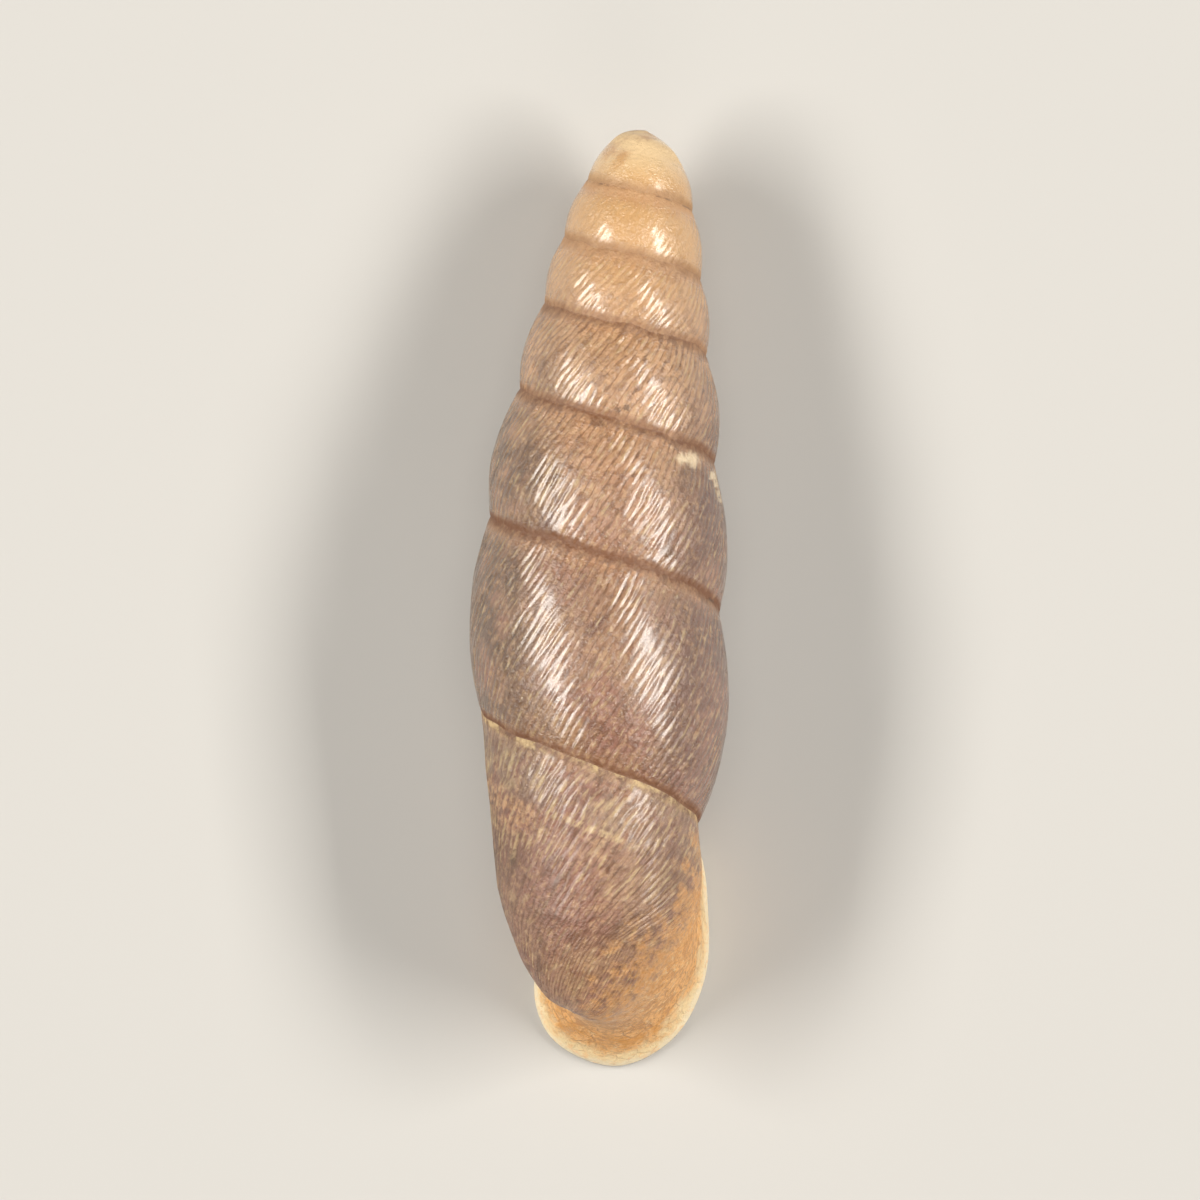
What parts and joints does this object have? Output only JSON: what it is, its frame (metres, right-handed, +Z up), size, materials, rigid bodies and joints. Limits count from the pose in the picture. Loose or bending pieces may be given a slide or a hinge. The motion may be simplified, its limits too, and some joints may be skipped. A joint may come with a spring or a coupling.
{
  "type": "door snail shell",
  "caption": "Slender spindle-shaped, left-handed snail shell lying on its flat lip, with the hollow tube open at the mouth.",
  "frame": {"origin": "on the resting surface, under the centre of the shell's bounding box", "axes": "+Z up as the shell lies on its mouth, +Y along the shell towards its tip, +X towards the side that the lip sticks out on"},
  "size_m": [0.004, 0.014, 0.004],
  "materials": {
    "shell": "satin"
  },
  "bodies": {
    "root": {"shell": "shell"}
  },
  "joints": []
}
